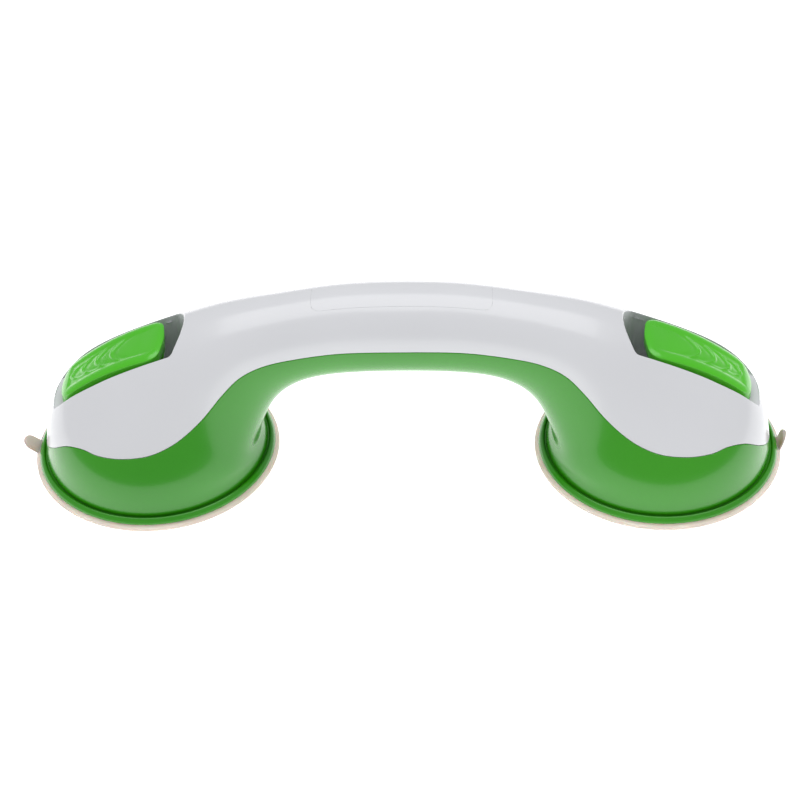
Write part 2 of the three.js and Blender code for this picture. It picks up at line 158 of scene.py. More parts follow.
# Section of the suction cup, with the slot that holds the stud's disc: [radius, z].
CUP_PROFILE = [
    (0, 3.6), (18, 3.1), (34, 1.6), (43.5, 0), (48.1, 0), (48.5, 0.8), (47.8, 1.5), (42, 1.8),
    (31, 3.7), (22, 6.2), (16, 7.8), (4.8, 7.8), (4.8, 6.6), (11.3, 6.6), (11.3, 4.6), (0, 4.6),
]
CUP_CUTS = [0, 3, 4, 1.2, 0.3, 0.3, 0.3, 2, 3, 2.5, 0.8, 0.3, 0.2, 0.3, 0.3, 0]
TAB = {
    "start": 45, "length": 7.6, "half_width": 3.8, "thickness": 1.4, "bottom": 0.1,
    "tip_half_width": 0.01, "thins_below": 1.2,
}
# Powers under 1 square up the tab's section, across and up.
TAB_SQUARE = (0.55, 0.7)
TAB_SIDES = 40
# The tab leaves the rim at this radius, bends over this radius and rises by this many degrees.
TAB_BEND = {"left": (47.3, 1.2, 38), "right": (46.9, 1.2, 74)}

# Cheeks of the lever: the cam's edge follows from its heights, and the rest is this outline: [x, z].
CAM_HEIGHT = 10.2
CAM_FALL = 5
CAM_SWING = math.radians(100)
CHEEK_OUTLINE = [(6.5, 37.2), (9.5, 41.5), (12, 47.5), (0, 52), (-4.3, 52)]
CHEEK_CUTS = [1.2, 1, 1.2, 0.8, 1.2]
CHEEK_INNER, CHEEK_OUTER = 5.2, 10.6
CHEEK_ROUND = 0.35
CAM_STEPS = 24
CAM_END_CUT = 0.6
PIN_HOLE = {"radius": 1.8, "sides": 32}


# ---- small maths ----
def unit(vectors):
    return vectors / np.maximum(np.linalg.norm(vectors, axis=1, keepdims=True), 1e-12)


def bezier(start, corner, end, share):
    """Point on the rounded corner between start and end."""
    return (1 - share) ** 2 * start + 2 * share * (1 - share) * corner + share ** 2 * end


def rounded(points, cuts, steps=6):
    """The closed outline with each corner rounded off, starting cut away from it on both sides."""
    corners = np.array(points, float)
    made = []
    for corner, before, after, cut in zip(corners, np.roll(corners, 1, 0), np.roll(corners, -1, 0), cuts):
        if cut == 0:
            made.append(corner)
            continue
        start = corner + (before - corner) * cut / np.linalg.norm(before - corner)
        end = corner + (after - corner) * cut / np.linalg.norm(after - corner)
        made += [bezier(start, corner, end, i / steps) for i in range(steps + 1)]
    return np.array(made)


def evenly(points, step, closed=True):
    """The same line with its points step apart."""
    line = np.vstack([points, points[:1]]) if closed else np.array(points, float)
    lengths = np.concatenate([[0], np.cumsum(np.linalg.norm(np.diff(line, axis=0), axis=1))])
    count = max(int(round(lengths[-1] / step)), 3)
    places = np.linspace(0, lengths[-1], count + 1)
    found = np.column_stack([np.interp(places, lengths, line[:, k]) for k in range(line.shape[1])])
    return found[:-1] if closed else found


def softened(line, times=3):
    """The open line with its corners cut smooth and its ends kept."""
    line = np.array(line, float)
    for _ in range(times):
        near, far = 0.75 * line[:-1] + 0.25 * line[1:], 0.25 * line[:-1] + 0.75 * line[1:]
        line = np.vstack([line[:1], np.stack([near, far], 1).reshape(-1, 2), line[-1:]])
    return line


def smooth_step(value):
    share = np.clip(value, 0, 1)
    return share * share * (3 - 2 * share)


def turns_left(loop):
    after = np.roll(loop, -1, 0)
    return np.sum(loop[:, 0] * after[:, 1] - after[:, 0] * loop[:, 1]) > 0


def walked(loop, left):
    """The loop, walked so that it turns left or right as asked."""
    return loop if turns_left(loop) == left else loop[::-1]


def round_hole(radius, sides):
    """A circle about the origin, walked as a hole is."""
    angles = np.linspace(0, -2 * math.pi, sides, endpoint=False)
    return radius * np.column_stack([np.cos(angles), np.sin(angles)])


def inside(points, loops):
    """True for points that lie inside an odd number of the loops."""
    odd = np.zeros(len(points), bool)
    x, y = points[:, 0], points[:, 1]
    for loop in loops:
        for (x1, y1), (x2, y2) in zip(loop, np.roll(loop, -1, 0)):
            if y1 != y2:
                odd ^= ((y1 > y) != (y2 > y)) & (x < (x2 - x1) * (y - y1) / (y2 - y1) + x1)
    return odd


# ---- surfaces over a plane domain ----
class Surface:
    """A surface given by a function from pairs of values to points in space."""

    def __init__(self, place, steps):
        self.place = place
        self.steps = steps

    def slopes(self, q):
        first, second = np.array([self.steps[0], 0]), np.array([0, self.steps[1]])
        along = (self.place(q + first) - self.place(q - first)) / (2 * self.steps[0])
        across = (self.place(q + second) - self.place(q - second)) / (2 * self.steps[1])
        return along, across

    def normals(self, q):
        return unit(np.cross(*self.slopes(q)))

    def shifted(self, q, moves):
        """The pairs whose points lie moves away along the surface."""
        along, across = self.slopes(q)
        aa, ab, bb = (along * along).sum(1), (along * across).sum(1), (across * across).sum(1)
        ma, mb = (along * moves).sum(1), (across * moves).sum(1)
        size = aa * bb - ab * ab
        return q + np.column_stack([(bb * ma - ab * mb) / size, (aa * mb - ab * ma) / size])

    def away(self, loop):
        """Directions along the surface, out of the patch that lies on the left of the loop."""
        points = self.place(loop)
        ahead = unit(np.roll(points, -1, 0) - np.roll(points, 1, 0))
        return unit(np.cross(ahead, self.normals(loop)))


def flat_surface(height):
    return Surface(lambda q: np.column_stack([q, height(q)]), (0.01, 0.01))


# ---- meshes ----
def bent(q):
    """The domain leant and bent a little: squares of a grid split one way, and no edge stays straight."""
    x, y = q.T
    return np.column_stack([x + DOMAIN_LEAN * y + DOMAIN_BEND * y ** 2, y + DOMAIN_BEND * x ** 2])


class Maker:
    """Collects the faces of one piece, in millimetres."""

    def __init__(self):
        self.points = []
        self.sunk = []
        self.faces = []
        self.count = 0

    def add(self, points, faces, place=None, sunk=False):
        points = np.asarray(points, float)
        if place is not None:
            points = points @ np.array(place.to_3x3()).T + np.array(place.translation)
        self.points.append(points)
        self.sunk += [sunk] * len(points)
        self.faces += [[self.count + i for i in face] for face in faces]
        self.count += len(points)

    def strips(self, rows, closed=True, place=None, sunk=False):
        """Quads between rows of points; the first row is on the left of the way they are walked."""
        size = len(rows[0])
        faces = []
        for r in range(len(rows) - 1):
            for i in range(size if closed else size - 1):
                a, b = r * size + i, r * size + (i + 1) % size
                faces.append([a, a + size, b + size, b])
        self.add(np.vstack(rows), faces, place, sunk)

    def patch(self, surface, loops, grid, stretch, place=None, sunk=False):
        """The part of a surface between loops, filled with triangles. stretch evens out its two values."""
        stretch = np.array(stretch, float)
        tree_points = np.vstack([surface.place(loop) for loop in loops])
        tree = KDTree(len(tree_points))
        for i, p in enumerate(tree_points):
            tree.insert(p, i)
        tree.balance()
        spots = grid[inside(grid, loops)]
        clear = [tree.find(p)[2] > GRID_CLEARANCE for p in surface.place(spots)] if len(spots) else []
        spots = spots[np.array(clear, bool)]
        edges = []
        start = 0
        for loop in loops:
            edges += [(start + i, start + (i + 1) % len(loop)) for i in range(len(loop))]
            start += len(loop)
        q = np.vstack([*loops, spots])
        flat = bent(q * stretch)
        found = delaunay_2d_cdt([Vector(p) for p in flat], edges, [], 0, 1e-7)
        order = [sources[0] for sources in found[3]]
        flat = flat[order]
        triangles = np.array([face for face in found[2] if len(face) == 3])
        triangles = triangles[inside(flat[triangles].mean(1), [bent(loop * stretch) for loop in loops])]
        a, b, c = (flat[triangles[:, k]] for k in range(3))
        turn = (b[:, 0] - a[:, 0]) * (c[:, 1] - a[:, 1]) - (b[:, 1] - a[:, 1]) * (c[:, 0] - a[:, 0])
        triangles[turn < 0] = triangles[turn < 0][:, ::-1]
        self.add(surface.place(q[order]), triangles.tolist(), place, sunk)

    def edge(self, surface, loop, radius, down=None, wall=0, steps=5, place=None, sunk=False):
        """Rounds the patch's edge at the loop and takes it down a wall. Returns the patch's own loop."""
        away = surface.away(loop)
        base = surface.place(loop)
        drop = -surface.normals(loop) if down is None else np.tile(down, (len(loop), 1))
        own = surface.shifted(loop, -(radius + SUPPORT) * away)
        start = surface.place(surface.shifted(loop, -radius * away))
        end = base + radius * drop
        rows = [surface.place(own)]
        rows += [bezier(start, base, end, i / steps) for i in range(steps + 1)]
        if wall:
            rows.append(end + wall * drop)
        self.strips(rows, place=place, sunk=sunk)
        return own, rows[-1]

    def mesh(self, name, thickness=0):
        """A new object of the collected faces; with a thickness, they become a closed wall."""
        built = bmesh.new()
        layer = built.verts.layers.int.new(SUNK_LAYER)
        verts = [built.verts.new(p * MM) for p in np.vstack(self.points)]
        for vert, sunk in zip(verts, self.sunk):
            vert[layer] = int(sunk)
        for face in self.faces:
            corners = [verts[i] for i in face]
            if len(set(corners)) == len(corners):
                built.faces.new(corners)
        bmesh.ops.remove_doubles(built, verts=built.verts, dist=MERGE_DISTANCE * MM)
        bmesh.ops.dissolve_degenerate(built, edges=built.edges, dist=SHORTEST_EDGE * MM)
        built.normal_update()
        if thickness:
            thicken(built, thickness * MM)
        built.verts.layers.int.remove(built.verts.layers.int[SUNK_LAYER])
        data = bpy.data.meshes.new(name)
        built.to_mesh(data)
        built.free()
        data.shade_smooth()
        made = bpy.data.objects.new(name, data)
        bpy.context.scene.collection.objects.link(made)
        return made


def thicken(built, thickness):
    """Turns an open sheet into a closed wall that lies under it, and further down where it is sunk."""
    layer = built.verts.layers.int[SUNK_LAYER]
    sheet = built.faces[:]
    rim = [edge.link_loops[0] for edge in built.edges if edge.is_boundary]
    under = {}
    for vert in built.verts[:]:
        way = SUNK_LEAN * vert.normal + Vector((0, 0, SUNK_DROP)) if vert[layer] else vert.normal
        under[vert] = built.verts.new(vert.co - thickness * way)
    for face in sheet:
        built.faces.new([under[vert] for vert in reversed(face.verts)])
    for corner in rim:
        first, second = corner.vert, corner.link_loop_next.vert
        built.faces.new([second, first, under[first], under[second]])


def turned(maker, profile, place=None, sides=180):
    """A closed [radius, z] outline turned about the z axis; points at radius 0 close on the axis."""
    angles = np.linspace(0, 2 * math.pi, sides, endpoint=False)
    outline = walked(np.array(profile, float), True)
    rows = [np.column_stack([r * np.cos(angles), r * np.sin(angles), np.full(sides, z)]) for r, z in outline]
    on_axis = [i for i, (r, _) in enumerate(outline) if r == 0]
    pairs = [(i, (i + 1) % len(rows)) for i in range(len(rows))]
    for i, j in pairs:
        if i in on_axis and j in on_axis:
            continue
        maker.strips([rows[j], rows[i]], place=place)


def grid_over(low, high, steps):
    columns = np.arange(low[0], high[0], steps[0])
    rows = np.arange(low[1], high[1], steps[1])
    return np.array(np.meshgrid(columns, rows)).reshape(2, -1).T


def end_place(sign):
    """Where an end's own frame sits: the left end is the right one turned half round."""
    turn = Matrix.Rotation(0 if sign > 0 else math.pi, 4, "Z")
    return Matrix.Translation((sign * CUP_AXIS_X, 0, 0)) @ turn


# ---- body ----
MIRRORED_STATION = STATIONS[1] * np.array([-1, 1, -1, 1, 1, 1])
CONTROL = np.vstack([MIRRORED_STATION, STATIONS, 2 * STATIONS[-1] - STATIONS[-2]])


def sections(travel):
    """Section values at each travel, 0 at the middle of the grip and 1 at the foot, on a cubic B-spline."""
    spans = len(STATIONS) - 1
    reach = np.clip(travel, 0, 1) * spans
    first = np.minimum(reach.astype(int), spans - 1)
    f = (reach - first)[:, None]
    weights = [(1 - f) ** 3, 3 * f ** 3 - 6 * f ** 2 + 4, -3 * f ** 3 + 3 * f ** 2 + 3 * f + 1, f ** 3]
    return sum(weight * CONTROL[first + k] for k, weight in enumerate(weights)) / 6


def egg_reach(angle, egg):
    """Across a section, an egg narrows one side of the ellipse, and the widest place keeps its width."""
    safe = np.where(np.abs(egg) < 1e-6, 1e-6, egg)
    widest = np.arccos((1 - np.sqrt(1 + 8 * safe ** 2)) / (4 * safe))
    return np.sin(angle) * (1 - egg * np.cos(angle)) / (np.sin(widest) * (1 - egg * np.cos(widest)))


def body_place(q):
    """Points of the body at [travel, angle]; travel runs from -1 to 1, and angle 0 is the upper side."""
    x1, z1, x2, z2, width, egg = sections(np.abs(q[:, 0])).T
    along = np.cos(q[:, 1])
    x = (x1 + x2) / 2 + (x2 - x1) / 2 * along
    z = (z1 + z2) / 2 + (z2 - z1) / 2 * along
    return np.column_stack([np.sign(q[:, 0]) * x, width * egg_reach(q[:, 1], egg), z])


BODY = Surface(body_place, (1e-4, 1e-3))
BODY_STRETCH = (190, 30)


def parting_height(x):
    """Height of the parting line, a smooth curve through its mirrored points."""
    line = np.vstack([PARTING_LINE[:0:-1] * [-1, 1], PARTING_LINE])
    before = np.vstack([line[:1], line[:-1]])
    after = np.vstack([line[1:], line[-1:]])
    slope = (after - before) / 2
    places = np.linspace(0, len(line) - 1, 1200)
    first = np.minimum(places.astype(int), len(line) - 2)
    f = (places - first)[:, None]
    curve = (
        (2 * f ** 3 - 3 * f ** 2 + 1) * line[first] + (f ** 3 - 2 * f ** 2 + f) * slope[first]
        + (3 * f ** 2 - 2 * f ** 3) * line[first + 1] + (f ** 3 - f ** 2) * slope[first + 1]
    )
    return np.interp(x, curve[:, 0], curve[:, 1])


def above_parting(q, rise):
    points = body_place(q)
    return points[:, 2] - parting_height(points[:, 0]) - rise


def halved(wanted, low, high):
    """Where the rising function wanted crosses zero between low and high, by halving."""
    for _ in range(40):
        middle = (low + high) / 2
        rising = wanted(middle) > 0
        high = np.where(rising, middle, high)
        low = np.where(rising, low, middle)
    return (low + high) / 2


def parting_side(rise):
    """[travel, angle] along the parting line on the +Y side, from the left tip to the right tip."""
    ridge = lambda travel: -above_parting(np.column_stack([travel, 0 * travel]), rise)
    tip = halved(ridge, np.array([0.6]), np.array([1.0]))[0]

    def at(travel):
        wanted = lambda angle: -above_parting(np.column_stack([travel, angle]), rise)
        return np.column_stack([travel, halved(wanted, 0 * travel, 0 * travel + math.pi)])

    rough = at(tip * np.sin(np.linspace(-math.pi / 2, math.pi / 2, 1601)))
    points = body_place(rough)
    lengths = np.concatenate([[0], np.cumsum(np.linalg.norm(np.diff(points, axis=0), axis=1))])
    places = np.linspace(0, lengths[-1], int(lengths[-1] / LOOP_STEP))
    side = at(np.interp(places, lengths, rough[:, 0]))
    side[[0, -1]] = [[-tip, 0], [tip, 0]]
    return side


def body_grid(low_angle, high_angle):
    steps = (BODY_GRID / BODY_STRETCH[0], BODY_GRID / BODY_STRETCH[1])
    return grid_over((-1 + steps[0] / 2, low_angle + steps[1] / 2), (1, high_angle), steps)


def on_body(outline):
    """[travel, angle] of the body's upper side over points given in plan, at the bar's right half."""
    travels = np.linspace(0, 1, 400)
    ridge = body_place(np.column_stack([travels, 0 * travels]))[:, 0]
    q = np.column_stack([np.interp(outline[:, 0], ridge, travels), outline[:, 1] / 30])
    for _ in range(20):
        miss = np.column_stack([outline - body_place(q)[:, :2], np.zeros(len(outline))])
        along, across = BODY.slopes(q)
        size = along[:, 0] * across[:, 1] - along[:, 1] * across[:, 0]
        first = (across[:, 1] * miss[:, 0] - across[:, 0] * miss[:, 1]) / size
        second = (along[:, 0] * miss[:, 1] - along[:, 1] * miss[:, 0]) / size
        q = q + np.column_stack([first, second])
    return q


# ---- upper shell and inlay ----
def pocket_outline():
    """Plan of a pocket in the end frame."""
    side = [(x, y) for x, y, _ in POCKET_SIDE]
    cuts = [cut for _, _, cut in POCKET_SIDE]
    mirrored = [(x, -y) for x, y in side[-2:0:-1]]
    return evenly(rounded(side + mirrored, cuts + cuts[-2:0:-1]), LOOP_STEP)


def inlay_outline(grow):
    half_length, half_width = INLAY["length"] / 2 + grow, INLAY["width"] / 2 + grow
    points = [(-half_length, -half_width), (half_length, -half_width), (half_length, half_width),
              (-half_length, half_width)]
    return evenly(rounded(points, [INLAY["corner"]] * 4), LOOP_STEP)


def inlay_loop(grow):
    """The inlay's outline on the body, made from its right half so that both halves match."""
    outline = walked(inlay_outline(grow), True)
    right = outline * np.where(outline[:, :1] < 0, -1, 1)
    q = on_body(right)
    return q * np.where(outline[:, :1] < 0, -1, 1)


def pocket_depth(q):
    """Height of the pocket's floor, which runs out just under the body's surface at the outer end."""
    floor = np.interp(q[:, 0], *softened(FLOOR_LINE).T)
    surface = body_place(on_body(q + [CUP_AXIS_X, 0]))[:, 2] - POCKET["run_out"]
    return (floor + surface - np.hypot(floor - surface, POCKET["blend"])) / 2


def pocket_floor(maker, rim, outline, place):
    """Walls from the rim's last row down to the pocket's floor, and the floor with its stem hole."""
    flat = flat_surface(pocket_depth)
    plane = flat_surface(lambda q: 0 * q[:, 0])
    corner = flat.place(outline)
    radius = np.minimum(POCKET["floor_round"], POCKET["floor_share"] * (rim[:, 2:] - corner[:, 2:]))
    inset = outline + radius * plane.away(outline)[:, :2]
    start = corner + radius * [0, 0, 1]
    end = flat.place(inset)
    rows = [rim + (start - rim) * share for share in POCKET_WALL_SHARES]
    rows += [bezier(start, corner, end, i / 5) for i in range(6)]
    maker.strips(rows, place=place, sunk=True)
    hole = round_hole(STEM_HOLE["radius"], STEM_HOLE["sides"])
    own, _ = maker.edge(
        flat, hole, STEM_HOLE["round"], down=(0, 0, -1), wall=STEM_HOLE["wall"], place=place, sunk=True)
    half = POCKET["half"]
    grid = grid_over((POCKET["inner"], -half), (POCKET["outer"], half), (0.5, 1))
    maker.patch(flat, [inset[::-1], own], grid, (1, 1), place=place, sunk=True)


def upper_shell():
    maker = Maker()
    side = parting_side(PARTING_GAP)
    loops = [np.vstack([side * [1, -1], side[-2:0:-1]])]
    rounds = [EDGE_ROUND]
    own = [maker.edge(BODY, loops[0], EDGE_ROUND, wall=EDGE_DEPTH)[0]]
    outline = walked(pocket_outline(), False)
    pocket = on_body(outline + [CUP_AXIS_X, 0])
    depth = body_place(pocket)[:, 2:] - pocket_depth(outline)[:, None]
    radius = np.minimum(POCKET["rim_round"], POCKET["rim_share"] * depth)
    for sign in (-1, 1):
        patch_loop, rim = maker.edge(BODY, sign * pocket, radius, down=(0, 0, -1), sunk=True)
        own.append(patch_loop)
        pocket_floor(maker, end_local(rim, sign), outline, end_place(sign))
    recess = inlay_loop(INLAY["gap"])[::-1]
    patch_loop, _ = maker.edge(BODY, recess, INLAY["round"], wall=INLAY["depth"])
    own.append(patch_loop)
    maker.patch(BODY, own, body_grid(-math.pi, math.pi), BODY_STRETCH)
    return maker.mesh("upper_shell_look", SHELL_WALL)


def end_local(points, sign):
    """Points of the bar in an end's own frame."""
    return (points - [sign * CUP_AXIS_X, 0, 0]) * [sign, sign, 1]


def top_inlay():
    maker = Maker()
    loop = inlay_loop(0)
    own, _ = maker.edge(BODY, loop, INLAY["round"], wall=INLAY["side"])
    maker.patch(BODY, [own], body_grid(-1.2, 1.2), BODY_STRETCH)
    return maker.mesh("top_inlay_look", INLAY["thickness"])


# ---- lower shell ----
def lower_patch(maker):
    side = parting_side(0)
    loop = np.vstack([side, side[-2:0:-1] * [1, -1] + [0, 2 * math.pi]])
    own, _ = maker.edge(BODY, loop, EDGE_ROUND, wall=EDGE_DEPTH)
    front, back = own[:len(side)], own[len(side):]
    left_tip, right_tip = front[0, 0], front[-1, 0]
    foot_angles = np.linspace(0, 2 * math.pi, FOOT_SIDES + 1)
    left_seam = np.linspace(-1, left_tip, SEAM_POINTS)[:-1]
    right_seam = np.linspace(right_tip, 1, SEAM_POINTS)[1:]
    turn = 2 * math.pi

    def line(travels, angle):
        return np.column_stack([travels, 0 * travels + angle])

    outline = np.vstack([
        line(left_seam, 0), front, line(right_seam, 0),
        np.column_stack([0 * foot_angles[1:-1] + 1, foot_angles[1:-1]]),
        line(right_seam[::-1], turn), [[right_tip, turn]],
        back, [[left_tip, turn]], line(left_seam[::-1], turn),
        np.column_stack([0 * foot_angles[1:-1] - 1, foot_angles[-2:0:-1]]),
    ])
    maker.patch(BODY, [outline], body_grid(0, turn), BODY_STRETCH)
    for sign in (-1, 1):
        foot = body_place(np.column_stack([0 * foot_angles[:-1] + sign, foot_angles[:-1]]))
        below = foot * [1, 1, 0] + [0, 0, FOOT_END_Z]
        maker.strips([foot, below] if sign > 0 else [foot[::-1], below[::-1]])


def lower_shell():
    wall = Maker()
    lower_patch(wall)
    shell = wall.mesh("lower_shell_look", SHELL_WALL)
    rings = Maker()
    flange = rounded(FLANGE_PROFILE, FLANGE_CUTS)
    low, high, radius = DECK["bottom"], DECK["top"], DECK["radius"]
    collar, collar_top = DECK["collar_radius"], DECK["collar_top"]
    deck = [
        (STEM_HOLE["radius"], low), (radius, low), (radius, high), (collar, high), (collar, collar_top),
        (STEM_HOLE["radius"], collar_top),
    ]
    deck = rounded(deck, [DECK["round"]] * len(deck), 3)
    for sign in (-1, 1):
        turned(rings, flange, end_place(sign), sides=240)
        turned(rings, deck, end_place(sign), sides=120)
    return joined([shell, rings.mesh("foot_rings")])


def joined(objects):
    """The first object, with the others made part of it."""
    bpy.ops.object.select_all(action="DESELECT")
    for item in objects:
        item.select_set(True)
    bpy.context.view_layer.objects.active = objects[0]
    bpy.ops.object.join()
    return objects[0]


# ---- lever ----
def lever_arc(x):
    """Height of the lever's top along x, an arc through its two tips."""
    (x1, z1), (x2, z2), radius = LEVER_ARC["start"], LEVER_ARC["end"], LEVER_ARC["radius"]
    chord = math.hypot(x2 - x1, z2 - z1)
    depth = math.sqrt(radius ** 2 - (chord / 2) ** 2)
    centre_x = (x1 + x2) / 2 + (z2 - z1) / chord * depth
    centre_z = (z1 + z2) / 2 - (x2 - x1) / chord * depth
    return centre_z + np.sqrt(radius ** 2 - (x - centre_x) ** 2)


def rib_rise(q):
    """Height of the crescent ribs, which curl back towards the lever's inner end and fade at their ends."""
    rise = np.zeros(len(q))
    sink = np.zeros(len(q))
    for tip, half, curl in RIBS:
        share = np.clip(np.abs(q[:, 1]) / half, 0, 1.3)
        centre = tip - curl * share ** 2
        slope = 2 * curl * share / half
        distance = (q[:, 0] - centre) / np.sqrt(1 + slope ** 2)
        fade = smooth_step((1.15 - share) / 0.35)
        rise = np.maximum(rise, RIB_HEIGHT * np.exp(-(distance / RIB_WIDTH) ** 2) * fade)
        hollow = np.exp(-((distance + HOLLOW["back"]) / HOLLOW["width"]) ** 2) * fade
        sink = np.maximum(sink, HOLLOW["depth"] * hollow)
    return rise - sink


def lever_half(x):
    """Half width of the lever along x."""
    return np.interp(x, [LEVER["inner"], LEVER["outer"]], [LEVER["half_inner"], LEVER["half_outer"]])


def lever_height(q):
    x, y = q.T
    margin = np.minimum(lever_half(x) - np.abs(y), LEVER["outer"] - x)
    dish = DISH["depth"] * smooth_step((margin - DISH["start"]) / DISH["slope"])
    dish *= smooth_step((x - LEVER["inner"] - DISH["start"]) / DISH["end_slope"])
    return lever_arc(x) - LEVER["crown"] * (y / LEVER["half_inner"]) ** 2 - dish + rib_rise(q)


def lever_outline():
    """Plan of the lever: a bowed inner end, tapering sides and a rounder outer end."""
    inner, outer, bow = LEVER["inner"], LEVER["outer"], LEVER["bow"]
    wide, narrow = LEVER["half_inner"], LEVER["half_outer"]
    drawn = inner + LEVER_BOW["share"] * bow
    points = [
        (inner + bow, wide), (drawn, wide / 2), (inner, 0), (drawn, -wide / 2),
        (inner + bow, -wide), (outer - bow, -narrow), (outer, 0), (outer - bow, narrow),
    ]
    inner_corner, outer_corner = LEVER["inner_corner"], LEVER["outer_corner"]
    side_cut, middle_cut = LEVER_BOW["side_cut"], LEVER_BOW["middle_cut"]
    cuts = [
        inner_corner, side_cut, middle_cut, side_cut, inner_corner,
        outer_corner, LEVER_TIP_CUT, outer_corner,
    ]
    return evenly(rounded(points, cuts, 10), LEVER_STEP)


def lever_shell(maker):
    surface = flat_surface(lever_height)
    outline = walked(lever_outline(), True)
    away = surface.away(outline)
    base = surface.place(outline)
    own = surface.shifted(outline, -(BORDER["width"] + SUPPORT) * away)
    start = surface.place(surface.shifted(outline, -BORDER["width"] * away))
    corner = base - BORDER["lean"] * away
    rim = base - [0, 0, BORDER["drop"]]
    rows = [surface.place(own)] + [bezier(start, corner, rim, i / 10) for i in range(11)]
    foot = np.interp(rim[:, 0], *LEVER_FOOT.T)
    low = np.column_stack([rim[:, :2], np.minimum(foot, rim[:, 2] - LEVER["least_side"])])
    rows += [rim + (low - rim) * share for share in LEVER_SIDE_SHARES]
    maker.strips(rows)
    half = LEVER["half_inner"]
    grid = grid_over((LEVER["inner"], -half), (LEVER["outer"], half), (LEVER_GRID, LEVER_GRID))
    maker.patch(surface, [own], grid, (1, 1))


def cam_edge(steps):
    """The cam's working edge, whose height over the plate falls evenly while the lever opens."""
    rate = CAM_FALL / CAM_SWING
    back = CAM_SWING * (1 - np.linspace(0, 1, steps + 1))
    height = CAM_HEIGHT - rate * back
    angle = -math.pi / 2 - back
    x = height * np.cos(angle) - rate * np.sin(angle)
    z = PIN_Z + height * np.sin(angle) + rate * np.cos(angle)
    return np.column_stack([x, z])


def upright_surface(depth, face):
    """The plane at y = depth, which faces -Y, or +Y with its first value running backwards."""
    return Surface(lambda q: np.column_stack([-face * q[:, 0], 0 * q[:, 0] + depth, q[:, 1]]), (0.01, 0.01))


def cheek(maker, side):
    """One flat cheek with its pin hole, rounded along both faces."""
    cam = cam_edge(CAM_STEPS)
    cuts = [CAM_END_CUT, *[0] * (len(cam) - 2), CAM_END_CUT, *CHEEK_CUTS]
    outline = walked(evenly(rounded([*cam, *CHEEK_OUTLINE], cuts), LEVER_STEP), True)
    hole = round_hole(PIN_HOLE["radius"], PIN_HOLE["sides"]) + [0, PIN_Z]
    middle = (CHEEK_INNER + CHEEK_OUTER) / 2
    wall = (CHEEK_OUTER - CHEEK_INNER) / 2 - CHEEK_ROUND
    centre = Matrix.Translation((0, side * middle, 0))
    for face in (-1, 1):
        depth = face * (CHEEK_OUTER - CHEEK_INNER) / 2
        flat = upright_surface(depth, face)
        loops = [outline, hole]
        if face > 0:
            loops = [loop[::-1] * [-1, 1] for loop in loops]
        own = [maker.edge(flat, loop, CHEEK_ROUND, wall=wall, steps=3, place=centre)[0] for loop in loops]
        maker.patch(flat, own, np.zeros((0, 2)), (1, 1), place=centre)


def lever(name, sign):
    plate = Maker()
    lever_shell(plate)
    shell = plate.mesh(f"{name}_lever_look", LEVER["wall"])
    cheeks = Maker()
    cheek(cheeks, -1)
    cheek(cheeks, 1)
    made = joined([shell, cheeks.mesh("lever_cheeks")])
    turn_to_end(made, sign)
    return made


def turn_to_end(item, sign):
    """Moves an object's mesh from an end's own frame to its place on the bar."""
    place = end_place(sign)
    place.translation = place.translation * MM
    item.data.transform(place)


# ---- cup ----
def pull_tab(maker, bend, bend_radius, lift):
    """A rounded tongue that leaves the cup's rim flat and bends up by lift degrees."""
    start, length = TAB["start"], TAB["length"]
    half, thickness = TAB["half_width"], TAB["thickness"]
    flat_length = bend - start
    turn = math.radians(lift)
    tongue_end = flat_length + length
    ease = np.sin(np.linspace(0, math.pi / 2, 30))
    along = np.concatenate([np.linspace(0, tongue_end - half, 40)[:-1], tongue_end - half + half * ease])
    around = np.linspace(0, 2 * math.pi, TAB_SIDES, endpoint=False)
    rings = []
    for s in along:
        over = max(s - (tongue_end - half), 0)
        width = math.sqrt(max(half ** 2 - over ** 2, TAB["tip_half_width"] ** 2))
        thick = thickness / 2 * min(1, (width / TAB["thins_below"]) ** 0.5)
        bend_angle = min(max(s - flat_length, 0) / bend_radius, turn)
        straight = max(s - flat_length - bend_radius * turn, 0)
        x = start + min(s, flat_length) + bend_radius * math.sin(bend_angle) + straight * math.cos(turn)
        flat_z = TAB["bottom"] + thickness / 2
        z = flat_z + bend_radius * (1 - math.cos(bend_angle)) + straight * math.sin(turn)
        side, up = np.cos(around), np.sin(around)
        y = width * np.sign(side) * np.abs(side) ** TAB_SQUARE[0]
        n = thick * np.sign(up) * np.abs(up) ** TAB_SQUARE[1]
        rings.append(np.column_stack([x - n * math.sin(bend_angle), y, z + n * math.cos(bend_angle)]))
    first, last = (np.tile(ring.mean(0), (len(around), 1)) for ring in (rings[0], rings[-1]))
    maker.strips([last, *rings[::-1], first])


def suction_cup(name, sign):
    maker = Maker()
    turned(maker, rounded(CUP_PROFILE, CUP_CUTS), sides=200)
    pull_tab(maker, *TAB_BEND[name])
    made = maker.mesh(f"{name}_suction_cup_look")
    turn_to_end(made, sign)
    return made


